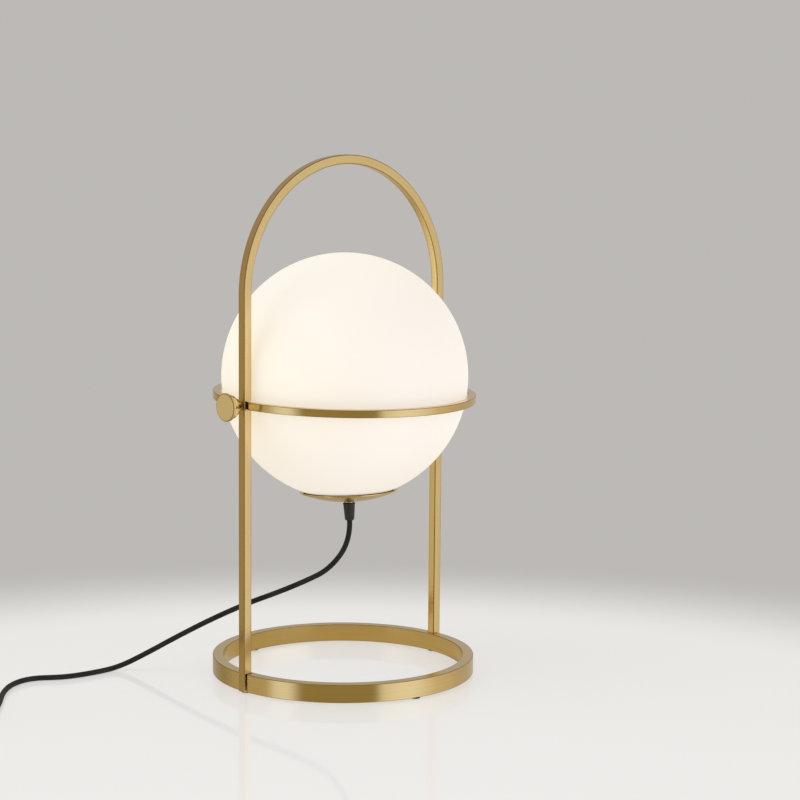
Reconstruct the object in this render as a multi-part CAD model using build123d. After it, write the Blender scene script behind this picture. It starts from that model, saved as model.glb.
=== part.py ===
"""A glass globe table lamp: an opal globe carried by a brass ring that tilts in a brass hoop on a ring base.

Millimetres, +Z up. The origin is on the surface that the lamp stands on, below the centre of the base.
X runs through the two posts and the tilt pivots, and the post with the knob that shows first is at -X.
"""

from build123d import *
import os
from math import atan2, cos, hypot, pi, radians, sin, sqrt, tan

# Globe, measured from its own centre
globe_r = 125.0
glass = 3.0
mouth_r = 42.0
globe_above_ring = 19.2
globe_turn = -3.2

# Base ring
base_width = 11.0
base_height = 18.0
pad_height = 1.2
pad_r = 4.5
pad_turns = (0, 95, 180, 261)

# Hoop: one square bar bent to an upside-down U, let into the outside of the base ring
bar_depth = 9.4
bar_width = 9.0
hoop_clear_of_globe = 1.5
post_proud = 1.9
bend_height = 373.8

# Tilt pivot
pivot_height = 267.3
notch_height = 9.3
web = 2.5
stud_r = 2.0
thread_gap = 0.05
running_gap = 0.3
friction_washer_depth = 3.0
friction_washer_r = 4.3

# Knobs
knob_r = 13.9
knob_reach = 20.5
knob_rim = 2.8
knob_nose_r = 3.7
knob_undercut = 1.2
knob_cone = 13.5
knob_cone_r = 12.2
knob_bevel = 0.6
knob_socket = 9.0
stud_short = 0.5

# Globe ring and its gasket
ring_clear_of_globe = 0.5
ring_width = 8.0
ring_height = 7.5
lip_width = 1.9
lip_height = 1.6
pivot_flat_spare = 1.5
gasket_height = 4.7
ring_tilt = 1.3

# Cap, gasket, spring clip and threaded tube
cap_r = 49.9
cap_sheet = 1.2
cap_gasket_depth = 1.8
cap_gasket_width = 4.0
cap_gasket_spare = 0.1
tube_r = 4.0
tube_bore_r = 3.0
tube_below_cap = 11.0
nut_across = 13.0
nut_height = 3.0
clip_sheet = 1.0
clip_overlap = 6.0
clip_hub_r = 13.0
clip_arm_width = 11.0
clip_rib = 3.0
clip_arms = 3

# Cord grip
collar_r = 4.9
collar_height = 2.6
collar_dome_r = 5.1
grip_length = 17.0
grip_top_r = 6.25
grip_end_r = 4.7
grip_bevel = 0.8
cord_r = 2.7
floor_gap = 0.05
arc_share = 0.45

# Lampholder
holder_clear_of_nut = 4.0
holder_neck_r = 8.0
holder_neck = 8.0
holder_base = 13.0
holder_r = 20.0
holder_wall = 2.0
holder_barrel_height = 42.0
holder_shoulder = 4.0
block_height = 9.0
shell_sheet = 0.5
shell_height = 23.0
lead_r = 1.0
lead_spread = 9.0
core_spread = 1.3
core_straight = 1.2
screw_r = 1.5
terminal_head_r = 2.5
terminal_head = 1.0
terminal_thread = 4.5
terminal_hole = 6.0

# Bulb
bulb_cap_r = 13.1
bulb_cap_height = 24.0
bulb_thread_gap = 0.3
bulb_length = 108.0
bulb_r = 30.0
bulb_wall = 1.5
bulb_housing_height = 36.0
bulb_tip_r = 3.5
bulb_tip = 2.0
bulb_eye_r = 6.0
bulb_eye_height = 3.0
bulb_cap_taper = 5.0
bulb_neck_step = 1.0
bulb_neck_height = 8.0
bulb_brim_step = 2.0
board_height = 1.6

# Cord switch, which lies on the surface with its length along X
switch_length = 60.0
switch_width = 26.0
switch_height = 18.0
switch_wall = 2.0
switch_end_width = 13.0
rocker_length = 20.0
rocker_width = 11.0
rocker_rise = 2.6
rocker_drop = 5.0
rocker_tilt = 7.0
rocker_pin_r = 1.2
rocker_depth = 3.0
rocker_corner_r = 1.5
rocker_gap = 0.35
pin_reach = 1.6
pin_gap = 0.08
ear_reach = 3.0
switch_screw_x = 19.0
switch_screw_y = 6.0
switch_post_r = 3.2
switch_screw_sink = 1.2
switch_base_bevel = 0.8
switch_top_round = 1.2
screw_head_r = 2.7
switch_straight = 24.0
contact_sheet = 1.0
contact_width = 6.0
contact_start = 3.0
contact_length = 9.0

# Plug
plug_length = 36.0
plug_width = 35.3
plug_height = 13.7
plug_neck_r = 4.6
plug_corner_r = 3.8
plug_shoulder = 0.78
pin_r = 2.0
pin_length = 19.0
pin_spacing = 18.6
pin_round = 1.6

# Coil of spare cord and its tie
coil_outer_r = 37.5
coil_step = 6.0
coil_turns = 5.5
coil_turnaround = 0.12
tie_sheet = 0.8
tie_width = 8.0
tie_gap = 0.6

# How far a shape that cuts runs past the face it cuts
past = 1.0

# Worked out from the sizes above
ring_inner_r = globe_r + ring_clear_of_globe
ring_outer_r = ring_inner_r + ring_width
hoop_inner_r = globe_r + hoop_clear_of_globe
hoop_outer_r = hoop_inner_r + bar_depth
base_outer_r = hoop_outer_r - post_proud
base_inner_r = base_outer_r - base_width
base_top = pad_height + base_height
bend_z = base_top + bend_height
pivot_z = base_top + pivot_height
notch_floor = hoop_outer_r - web
flat_x = notch_floor - friction_washer_depth - running_gap
cap_inner_r = globe_r + cap_gasket_depth
cap_outer_r = cap_inner_r + cap_sheet
collar_z = -cap_outer_r - collar_height
grip_z = collar_z - grip_length
clip_tip_r = mouth_r + clip_overlap
clip_z = -sqrt((globe_r - glass) ** 2 - clip_tip_r**2)
nut_corner_r = nut_across / 2 / cos(pi / 6)
low_nut_z = -sqrt(cap_inner_r**2 - nut_corner_r**2)
top_nut_z = clip_z + clip_sheet
holder_z = top_nut_z + nut_height + holder_clear_of_nut
block_z = holder_z + holder_base
shell_z = block_z + block_height
bulb_z = shell_z + bulb_thread_gap + bulb_tip
bulb_neck_z = bulb_z + bulb_cap_height
bulb_rim_z = bulb_neck_z + bulb_housing_height
floor_cord_z = cord_r + floor_gap
switch_axis_z = switch_height / 2
switch_screw_top = switch_height - 2 * switch_wall
rocker_axis_z = switch_height - rocker_depth
plug_axis_z = plug_height / 2 + floor_gap
coil_low_z = tie_sheet + tie_gap / 2 + cord_r
coil_high_z = coil_low_z + coil_step

# Where the globe, and all that hangs on it, stands: the ring tilts about the pivots,
# and the globe lies in the ring's seat turned a little the other way
globe_place = (
    Pos(0, 0, pivot_z) * Rot(ring_tilt, 0, 0) * Pos(0, 0, globe_above_ring)
    * Rot(globe_turn - ring_tilt, 0, 0)
)
ring_place = Pos(0, 0, pivot_z) * Rot(ring_tilt, 0, 0)
grip_exit = (globe_place * Pos(0, 0, grip_z)).position
exit_way = (globe_place * Pos(0, 0, grip_z - 1)).position - grip_exit


# Small helpers

def turned(*outline):
    """A solid of revolution about Z from an outline of (radius, height) points."""
    return revolve(make_face(Plane.XZ * Polyline(*outline, close=True)), Axis.Z)


def disc(radius, bottom, top):
    """An upright cylinder between two heights."""
    return Pos(0, 0, bottom) * Cylinder(radius, top - bottom, align=(Align.CENTER, Align.CENTER, Align.MIN))


def pipe(outer, inner, bottom, top):
    """An upright tube between two heights."""
    return disc(outer, bottom, top) - disc(inner, bottom, top)


def block(x, y, z):
    """A box from its (low, high) pairs along X, Y and Z."""
    size = [high - low for low, high in (x, y, z)]
    return Pos(*[(low + high) / 2 for low, high in (x, y, z)]) * Box(*size)


def both_sides(piece):
    """The same piece on the -X side and, turned half round, on the +X side."""
    return {"near": piece, "far": Rot(0, 0, 180) * piece}


# Frame

def base_ring():
    """Flat band bent to a ring, with a slot on the outside for each leg of the hoop."""
    ring = pipe(base_outer_r, base_inner_r, pad_height, base_top)
    across = (-bar_width / 2, bar_width / 2)
    slot = block((-base_outer_r - past, -hoop_inner_r), across, (0, base_top + past))
    for piece in both_sides(slot).values():
        ring -= piece
    return ring


def hoop():
    """Square bar with straight legs and a half-round top, notched where the globe's ring passes."""
    straight = bend_z - pad_height
    outer = Rectangle(2 * hoop_outer_r, straight, align=(Align.CENTER, Align.MAX)) + Circle(hoop_outer_r)
    inner = Rectangle(2 * hoop_inner_r, straight, align=(Align.CENTER, Align.MAX)) + Circle(hoop_inner_r)
    bar = extrude(Plane.XZ * (outer - inner), bar_width / 2, both=True)
    bar = Pos(0, 0, bend_z) * bar
    bar -= disc(2 * hoop_outer_r, -past, pad_height)
    half = notch_height / 2
    notch = block(
        (-notch_floor, past - hoop_inner_r), (-bar_width, bar_width), (pivot_z - half, pivot_z + half)
    )
    hole = Pos(-hoop_outer_r, 0, pivot_z) * Rot(0, 90, 0) * Cylinder(stud_r + running_gap, 4 * web)
    for piece in (notch, hole):
        for cut in both_sides(piece).values():
            bar -= cut
    return bar


def foot_pads():
    """Thin self-adhesive pads under the base ring, flush with its outside."""
    pad = Pos(base_outer_r - pad_r, 0, 0) * disc(pad_r, 0, pad_height)
    return [Rot(0, 0, turn) * pad for turn in pad_turns]


def friction_washer():
    """Thick washer that fills the notch between the post's web and the flat on the globe's ring."""
    washer = Cylinder(friction_washer_r, friction_washer_depth) - Cylinder(
        stud_r + running_gap, friction_washer_depth
    )
    return Pos(-notch_floor + friction_washer_depth / 2, 0, pivot_z) * Rot(0, 90, 0) * washer


# Knobs, modelled upright on their nose and then laid along X

def to_post(piece):
    """Lays a piece modelled on the post's outer face along -X."""
    return Pos(-hoop_outer_r, 0, pivot_z) * Rot(0, -90, 0) * piece


def knob():
    """Turned knob: a cone that opens to a shoulder and a flat disc with bevelled edges."""
    nose, rim = running_gap, knob_reach - knob_rim
    body = turned(
        (0, nose), (knob_nose_r, nose), (knob_cone_r, knob_cone), (knob_r - knob_undercut, rim - knob_bevel),
        (knob_r, rim), (knob_r, knob_reach - knob_bevel), (knob_r - knob_bevel, knob_reach), (0, knob_reach),
    )
    return to_post(body - disc(stud_r, nose - past, knob_socket))


def stud():
    """Threaded stud, fast in the knob, that runs through the post into the globe's ring."""
    depth = hoop_outer_r - ring_inner_r - stud_short
    return to_post(disc(stud_r, -depth, knob_socket))


# Globe ring and gasket, modelled on the pivot axis


def globe_ring():
    """Ring with a narrow lip for the gasket, milled flat on the outside at each pivot."""
    half = ring_height / 2
    lip_r = ring_inner_r - lip_width
    ring = turned(
        (lip_r, -half), (ring_outer_r, -half), (ring_outer_r, half),
        (ring_inner_r, half), (ring_inner_r, lip_height - half), (lip_r, lip_height - half),
    )
    reach = bar_width / 2 + pivot_flat_spare
    flat = block((-ring_outer_r - past, -flat_x), (-reach, reach), (-ring_height, ring_height))
    hole = Pos(-ring_outer_r, 0, 0) * Rot(0, 90, 0) * Cylinder(stud_r + thread_gap, 4 * ring_width)
    for piece in (flat, hole):
        for cut in both_sides(piece).values():
            ring -= cut
    return ring_place * ring


def seat_gasket():
    """Rubber seat between the ring and the glass, hollowed to the globe's own curve."""
    bottom = lip_height - ring_height / 2
    seat = pipe(ring_inner_r, ring_inner_r - ring_width, bottom, bottom + gasket_height)
    return ring_place * (seat - Pos(0, 0, globe_above_ring) * Sphere(globe_r))


# Globe and its fittings, modelled about the globe's centre

def glass_globe():
    """Blown opal shell, open at the bottom."""
    return Sphere(globe_r) - Sphere(globe_r - glass) - disc(mouth_r, -globe_r - past, 0)


def cap():
    """Spun dish that follows the globe's curve."""
    dish = (Sphere(cap_outer_r) - Sphere(cap_inner_r)) & disc(cap_r, -cap_outer_r, 0)
    return dish - disc(tube_r, -cap_outer_r, 0)


def cap_gasket():
    """Flat rubber ring that beds the cap on the glass round its mouth."""
    ring = pipe(mouth_r + cap_gasket_width, mouth_r, -cap_outer_r, 0)
    return (ring & Sphere(cap_inner_r - cap_gasket_spare)) - Sphere(globe_r)


def spring_clip():
    """Sheet spider whose three arms bear on the glass inside the mouth, each stiffened by a rib."""
    across = (-clip_arm_width / 2, clip_arm_width / 2)
    rib_r = clip_tip_r - clip_overlap
    arm = block((0, clip_tip_r + past), across, (clip_z, clip_z + clip_sheet))
    arm += block((rib_r - clip_sheet, rib_r), across, (clip_z, clip_z + clip_rib))
    plate = disc(clip_hub_r, clip_z, clip_z + clip_sheet)
    for turn in range(clip_arms):
        plate += Rot(0, 0, 360 / clip_arms * turn) * arm
    return (plate & disc(clip_tip_r, clip_z, clip_z + clip_rib)) - disc(tube_r, clip_z, clip_z + clip_rib)


def threaded_tube():
    """Tube that ties cord grip, cap, clip and lampholder together."""
    return pipe(tube_r, tube_bore_r, -cap_outer_r - tube_below_cap, holder_z + holder_neck)


def lock_nuts():
    """Two hexagon nuts on the tube: one on the cap, one on the clip."""
    flat = RegularPolygon(nut_across / 2, 6, major_radius=False)
    nut = extrude(flat, nut_height) - disc(tube_r, 0, nut_height)
    return [Pos(0, 0, z) * nut for z in (low_nut_z, top_nut_z)]


def cord_collar():
    """Small domed collar between the cap and the cord grip."""
    dome = (Pos(0, 0, -cap_outer_r - collar_height) * Sphere(collar_dome_r)) & disc(
        collar_r, collar_z, past - cap_outer_r
    )
    return dome - disc(tube_r, collar_z - past, 0) - Sphere(cap_outer_r)


def cord_grip():
    """Tapered strain relief, screwed on the end of the tube."""
    body = turned(
        (0, grip_z), (grip_end_r - grip_bevel, grip_z), (grip_end_r, grip_z + 2 * grip_bevel),
        (grip_top_r, collar_z - grip_bevel / 2), (grip_top_r - grip_bevel / 2, collar_z), (0, collar_z),
    )
    return body - disc(tube_r, -cap_outer_r - tube_below_cap, collar_z) - disc(cord_r, grip_z, collar_z)


def inner_cord():
    """The sheathed cord inside the grip and the tube, up to where its cores part."""
    return disc(cord_r, grip_z, holder_z + holder_neck)


# Lampholder

def holder_cap():
    """Moulded cup with a neck that screws on the tube."""
    outer = turned(
        (0, holder_z), (holder_neck_r, holder_z), (holder_neck_r, holder_z + holder_shoulder),
        (holder_r, block_z - holder_shoulder), (holder_r, block_z), (0, block_z),
    )
    inner = turned(
        (0, holder_z + holder_neck), (holder_neck_r - holder_wall, holder_z + holder_neck),
        (holder_r - holder_wall, block_z - holder_wall), (holder_r - holder_wall, block_z), (0, block_z),
    )
    return outer - inner - disc(tube_r, holder_z, block_z)


def holder_barrel_shell():
    """Straight moulded barrel round the socket, with a narrow foot that holds the block."""
    return pipe(holder_r, holder_r - holder_wall, block_z, block_z + holder_barrel_height)


def terminal_block():
    """Ceramic disc that carries the contacts and the terminal screws."""
    body = disc(holder_r - holder_wall, block_z, shell_z)
    for side in (-1, 1):
        body -= Pos(side * lead_spread, 0, 0) * disc(screw_r, block_z, block_z + terminal_hole)
    return body


def screw_shell():
    """The lampholder's threaded sleeve, a plain tube at the thread's inner size."""
    inner = bulb_cap_r + bulb_thread_gap
    return pipe(inner + shell_sheet, inner, shell_z, shell_z + shell_height)


def centre_contact():
    """Springy brass tongue under the bulb's tip."""
    return block((-bulb_tip_r, bulb_tip_r), (-bulb_tip, bulb_tip), (shell_z, shell_z + bulb_thread_gap / 2))


def terminal_screws():
    """Two small screws, head down, that clamp the cores to the block."""
    screw = disc(screw_r, block_z, block_z + terminal_thread)
    screw += disc(terminal_head_r, block_z - terminal_head, block_z)
    return [Pos(side * lead_spread, 0, 0) * screw for side in (-1, 1)]


def inner_leads():
    """Two insulated cores from the end of the cord to the terminal screws."""
    start, end = holder_z + holder_neck, block_z - terminal_head
    leads = []
    for side in (-1, 1):
        near, far = side * core_spread, side * lead_spread
        path = Polyline(
            (near, 0, start), (near, 0, start + core_straight), (far, 0, end - core_straight), (far, 0, end)
        )
        lead = sweep(Plane(path @ 0, z_dir=path % 0) * Circle(lead_r), path, transition=Transition.ROUND)
        leads.append(lead)
    return leads


# Bulb

def bulb_cap():
    """Thin metal cap with the big screw thread, drawn at the thread's outer size."""
    cup = turned(
        (0, bulb_z), (bulb_eye_r, bulb_z), (bulb_cap_r, bulb_z + bulb_cap_taper),
        (bulb_cap_r, bulb_z + bulb_cap_height), (0, bulb_z + bulb_cap_height),
    )
    hollow_z = bulb_z + bulb_cap_taper + shell_sheet
    hollow = disc(bulb_cap_r - shell_sheet, hollow_z, bulb_z + bulb_cap_height)
    return cup - disc(bulb_eye_r, bulb_z, hollow_z) - hollow


def bulb_insulator():
    """Dark glass ring between the cap and its centre tip."""
    return pipe(bulb_eye_r, bulb_tip_r, bulb_z, bulb_z + bulb_eye_height)


def bulb_tip_contact():
    """Centre tip of the bulb."""
    return disc(bulb_tip_r, bulb_z - bulb_tip, bulb_z + bulb_eye_height)


def bulb_housing():
    """Plastic cone of the bulb, open at the top for the lamp's board."""
    bottom, top, bend = bulb_neck_z, bulb_rim_z, bulb_neck_z + bulb_neck_height
    neck, brim = bulb_cap_r + bulb_neck_step, bulb_r - bulb_brim_step
    waist = neck + bulb_neck_step
    cone = turned((0, bottom), (neck, bottom), (waist, bend), (brim, top), (0, top))
    hollow = turned(
        (0, bottom + bulb_wall), (neck - bulb_wall, bottom + bulb_wall), (waist - bulb_wall, bend),
        (brim - bulb_wall, top), (0, top),
    )
    return cone - hollow


def bulb_board():
    """Round board with the light-giving chips, inside the rim of the housing."""
    top = bulb_rim_z - board_height
    return disc(bulb_r - bulb_brim_step - 2 * bulb_wall, top - board_height, top)


def bulb_diffuser():
    """Frosted dome of the bulb."""
    middle = bulb_z - bulb_tip + bulb_length - bulb_r
    dome = Pos(0, 0, middle) * (Sphere(bulb_r) - Sphere(bulb_r - bulb_wall))
    return dome - disc(2 * bulb_r, -globe_r, bulb_rim_z)


# Cord. Each stretch is straight runs joined by arcs that are as large as the runs allow.

grip_run = 21.4
lamp_route = [
    tuple(grip_exit),
    tuple(grip_exit + exit_way * grip_run),
    (-14, 5.5, 107), (-34.5, 25, 93), (-54.5, 44, 81.5), (-75, 63.5, 71), (-101, 88.5, 54.5),
    (-127, 113.5, 35.5), (-150, 135.5, 17.5), (-171, 155, floor_cord_z), (-204, 153.5, floor_cord_z),
    (-236, 158, floor_cord_z), (-263, 178, floor_cord_z), (-291, 171, floor_cord_z),
    (-316, 149, floor_cord_z), (-337, 122, floor_cord_z), (-358, 98, floor_cord_z),
    (-383, 82, switch_axis_z), (-408, 82, switch_axis_z),
]


def routed(route, name):
    """A round tube along a route, with what its arcs and its length come to."""
    points = [Vector(*p) for p in route]
    runs = [(b - a).length for a, b in zip(points, points[1:])]
    turns = [(b - a).get_angle(c - b) for a, b, c in zip(points, points[1:], points[2:])]
    arcs = [arc_share * min(pair) / tan(radians(turn / 2)) for pair, turn in zip(zip(runs, runs[1:]), turns)]
    path = FilletPolyline(*route, radius=arcs)
    tube = sweep(Plane(path @ 0, z_dir=path % 0) * Circle(cord_r), path)
    steady = tube.volume / (pi * cord_r**2 * path.length)
    print(f"{name}: {path.length:.0f} mm, arcs {[round(r) for r in arcs]}, volume ratio {steady:.4f}")
    return tube


switch_in = Vector(*lamp_route[-1])
switch_out = switch_in - Vector(switch_length, 0, 0)
link_step = 15.0
link_ramp = 17.0
coil_start = Vector(switch_out.X - 2 * link_step - link_ramp - 2 * cord_r, switch_out.Y, coil_low_z)
coil_drift = coil_step * coil_turns / 2 / hypot(coil_turns / 2, coil_turnaround)
coil_first_angle = atan2(coil_drift, 2 * pi * coil_outer_r) - pi / 2
coil_centre = Vector(coil_start.X, coil_start.Y, 0) - coil_outer_r * Vector(
    cos(coil_first_angle), sin(coil_first_angle), 0
)
link_route = [
    tuple(switch_out),
    (switch_out.X - link_step, switch_out.Y, switch_axis_z),
    (switch_out.X - link_step - link_ramp, switch_out.Y, coil_low_z),
    (coil_start.X + 2 * cord_r, coil_start.Y, coil_low_z),
]


def coil_point(turn):
    """A point of the coil's centreline and its direction, with turn counted from the middle of the cord.

    The radius grows steadily with the distance from the middle, and the height changes from the lower
    to the upper layer in the half turn round the middle. The coil runs clockwise, and sets off along -X.
    """
    middle = coil_outer_r - coil_step * hypot(coil_turns / 2, coil_turnaround)
    reach = hypot(turn, coil_turnaround)
    radius = middle + coil_step * reach
    climb = min(max(2 * turn + 0.5, 0), 1)
    height = coil_low_z + coil_step * climb**2 * (3 - 2 * climb)
    angle = coil_first_angle - 2 * pi * (turn + coil_turns / 2)
    outward = Vector(cos(angle), sin(angle), 0)
    along = Vector(sin(angle), -cos(angle), 0)
    slope = outward * (coil_step * turn / reach) + along * (2 * pi * radius)
    slope += Vector(0, 0, coil_step * 12 * climb * (1 - climb))
    return coil_centre + outward * radius + Vector(0, 0, height), slope.normalized()


coil_end, coil_end_way = coil_point(coil_turns / 2)
tail_start = coil_end + coil_end_way * (2 * cord_r)
tail_step = 10.0
tail_bend = tail_start + coil_end_way * tail_step
tail_route = [
    tuple(tail_start),
    tuple(tail_bend),
    (tail_bend.X + tail_step, tail_bend.Y, plug_axis_z),
    (tail_bend.X + 2 * tail_step, tail_bend.Y, plug_axis_z),
]
plug_in = Vector(*tail_route[-1])


def biarc(start, way, end, end_way):
    """Two arcs that join two points smoothly, each along its given direction."""
    across, spread = end - start, way + end_way
    bend = 2 * (1 - way.dot(end_way))
    reach = (sqrt(across.dot(spread) ** 2 + bend * across.dot(across)) - across.dot(spread)) / bend
    joint = (start + end + (way - end_way) * reach) * 0.5
    joint_way = (end - end_way * reach) - (start + way * reach)
    return [
        Edge.make_tangent_arc(start, way, joint),
        Edge.make_tangent_arc(joint, joint_way.normalized(), end),
    ]


def cord_coil():
    """The spare cord in one unbroken tube: in along the lower layer, up, and out along the upper one."""
    steps = round(4 * coil_turns)
    stations = [coil_point(k / 4 - coil_turns / 2) for k in range(steps + 1)]
    edges = [Edge.make_line(Vector(*link_route[-1]), stations[0][0])]
    for (a, way), (b, end_way) in zip(stations, stations[1:]):
        edges += biarc(a, way, b, end_way)
    edges.append(Edge.make_line(coil_end, tail_start))
    path = Wire(edges)
    tube = sweep(Plane(path @ 0, z_dir=path % 0) * Circle(cord_r), path)
    steady = tube.volume / (pi * cord_r**2 * path.length)
    print(f"cord_coil: {path.length:.0f} mm, volume ratio {steady:.4f}, least gap {coil_gap(path):.2f} mm")
    return tube


def coil_gap(path, samples=900):
    """The least gap between the coil and itself, over points that are not neighbours along it."""
    points = [path @ (k / samples) for k in range(samples + 1)]
    skip = round(samples * 8 * cord_r / path.length)
    far_apart = (
        (a - b).length for i, a in enumerate(points) for b in points[i + skip :]
    )
    return min(far_apart) - 2 * cord_r


def cord_tie():
    """Flat strap round all the turns, at the side of the coil away from the lamp."""
    middle = coil_outer_r - coil_step * hypot(coil_turns / 2, coil_turnaround)
    rows = [k - 0.5 for k in range(1, round(coil_turns / 2 + 0.25) + 1)]
    inner = middle + coil_step * hypot(rows[0], coil_turnaround) - cord_r - tie_gap
    outer = middle + coil_step * hypot(rows[-1], coil_turnaround) + cord_r + tie_gap
    low, high = coil_low_z - cord_r - tie_gap / 2, coil_high_z + cord_r + tie_gap / 2
    size = (outer - inner, high - low)
    hole = RectangleRounded(*size, cord_r)
    strap = RectangleRounded(size[0] + 2 * tie_sheet, size[1] + 2 * tie_sheet, cord_r + tie_sheet)
    loop = extrude(Plane.XZ * (strap - hole), tie_width / 2, both=True)
    return Pos(coil_centre.X - (inner + outer) / 2, coil_centre.Y, (low + high) / 2) * loop


# Cord switch

def switch_outline(inset):
    """The switch's outline from above: straight in the middle, drawn in by arcs at its ends."""
    half, wide, end = switch_length / 2 - inset, switch_width / 2 - inset, switch_end_width / 2 - inset
    start = switch_straight / 2
    sides = []
    for way in (-1, 1):
        sides.append(Line((-start, way * wide), (start, way * wide)))
        sides.append(Line((way * half, -end), (way * half, end)))
        for turn in (-1, 1):
            tangent_end, free_end = (way * start, turn * wide), (way * half, turn * end)
            sides.append(TangentArc(tangent_end, free_end, tangent=(way, 0)))
    return make_face(sides)


def switch_middle():
    """The centre of the switch, on the surface below it."""
    return Pos((switch_in.X + switch_out.X) / 2, switch_in.Y, 0)


def switch_half(bottom, top, inner_bottom, inner_top):
    """Half of the switch's casing, hollow, with the cord's channel at both ends."""
    shell = Pos(0, 0, bottom) * extrude(switch_outline(0), top - bottom)
    hollow = Pos(0, 0, inner_bottom) * extrude(switch_outline(switch_wall), inner_top - inner_bottom)
    channel = Pos(0, 0, switch_axis_z) * Rot(0, 90, 0) * Cylinder(cord_r, 2 * switch_length)
    return shell - hollow - channel


def screw_spots():
    """Where the two casing screws stand, near opposite corners."""
    return [Pos(side * switch_screw_x, side * switch_screw_y, 0) for side in (-1, 1)]


def switch_base():
    """Lower half of the casing, with a post for each screw."""
    base = switch_half(0, switch_axis_z, switch_wall, switch_axis_z)
    edge = base.edges().group_by(Axis.Z)[0]
    base = chamfer(edge, switch_base_bevel)
    for spot in screw_spots():
        base += spot * disc(switch_post_r, switch_screw_sink, switch_axis_z)
        base -= spot * disc(screw_r, 0, switch_axis_z)
        base -= spot * disc(screw_head_r, 0, switch_screw_sink)
    return switch_middle() * base


def rocker_window(spare):
    """The rocker's outline from above, grown by the gap round it."""
    return RectangleRounded(rocker_length + 2 * spare, rocker_width + 2 * spare, rocker_corner_r + spare)


def pivot_bar(radius, length):
    """A round bar across the switch at the rocker's pivot."""
    return Pos(0, 0, rocker_axis_z) * Rot(90, 0, 0) * Cylinder(radius, length)


def switch_cover():
    """Upper half of the casing, with the rocker's window and ears for its pins."""
    cover = switch_half(switch_axis_z, switch_height, switch_axis_z, switch_height - switch_wall)
    edge = cover.edges().group_by(Axis.Z)[-1]
    cover = fillet(edge, switch_top_round)
    for spot in screw_spots():
        cover += spot * disc(switch_post_r, switch_axis_z, switch_height - switch_wall)
        cover -= spot * disc(screw_r, switch_axis_z, switch_screw_top)
    window = extrude(rocker_window(rocker_gap), switch_height)
    ear_y = rocker_width / 2 + rocker_gap
    for side in (-1, 1):
        cover += block(
            (-ear_reach, ear_reach),
            sorted((side * ear_y, side * (ear_y + pin_reach + rocker_gap))),
            (rocker_axis_z - ear_reach, switch_height - switch_wall),
        )
    cover -= window
    cover -= pivot_bar(rocker_pin_r + pin_gap, rocker_width + 2 * (rocker_gap + pin_reach + pin_gap))
    return switch_middle() * cover


def switch_rocker():
    """Rocker with a shallow V top and two moulded pins, pressed down at the lamp's end."""
    low, high = switch_height - rocker_drop, switch_height + rocker_rise
    half, drop = rocker_length / 2, rocker_length / 2 * tan(radians(rocker_tilt))
    side = Polyline((-half, low), (half, low), (half, high), (0, high - drop), (-half, high), close=True)
    key = extrude(Plane.XZ * make_face(side), rocker_width / 2, both=True)
    key &= extrude(rocker_window(0), 2 * switch_height)
    key &= pivot_bar(rocker_length / 2, switch_width)
    key += pivot_bar(rocker_pin_r, rocker_width + 2 * (rocker_gap + pin_reach))
    tilt = Pos(0, 0, rocker_axis_z) * Rot(0, rocker_tilt, 0) * Pos(0, 0, -rocker_axis_z)
    return switch_middle() * tilt * key


def switch_screws():
    """Two casing screws, from below."""
    screw = disc(screw_r, switch_screw_sink, switch_screw_top)
    screw += disc(screw_head_r, switch_screw_sink / 4, switch_screw_sink)
    return [switch_middle() * spot * screw for spot in screw_spots()]


def switch_contacts():
    """Two bent brass strips on the floor of the casing, below the rocker."""
    across = (-contact_width / 2, contact_width / 2)
    foot = (contact_start, contact_start + contact_length)
    strip = block(foot, across, (switch_wall, switch_wall + contact_sheet))
    strip += block((contact_start, contact_start + contact_sheet), across, (switch_wall, switch_axis_z))
    return [switch_middle() * strip, switch_middle() * Rot(0, 0, 180) * strip]


# Plug

def plug_body():
    """Flat moulded plug that widens from the cord to the pins."""
    neck, across, up = 2 * plug_neck_r, plug_width, plug_height
    sections = []
    for x, wide, tall in (
        (0, neck, neck),
        (0.3 * plug_length, 1.15 * neck, 1.1 * neck),
        (0.62 * plug_length, plug_shoulder * across, up),
        (0.8 * plug_length, across, up),
        (plug_length, across, up),
    ):
        plane = Plane(origin=(x, 0, 0), x_dir=(0, 1, 0), z_dir=(1, 0, 0))
        sections.append(plane * RectangleRounded(wide, tall, plug_corner_r))
    return Pos(*plug_in) * loft(sections, ruled=True)


def plug_pins():
    """Two round pins with rounded ends."""
    pin = Cylinder(pin_r, pin_length, align=(Align.CENTER, Align.CENTER, Align.MIN))
    pin = fillet(pin.edges().group_by(Axis.Z)[-1], pin_round)
    place = Pos(*plug_in) * Pos(plug_length, 0, 0)
    return [place * Pos(0, side * pin_spacing / 2, 0) * Rot(0, 90, 0) * pin for side in (-1, 1)]


# Every node of the lamp, by name

def on_globe(piece):
    """Moves a piece, or each of several, from the globe's own centre to its place in the lamp."""
    if isinstance(piece, list):
        return [globe_place * p for p in piece]
    return globe_place * piece


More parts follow.
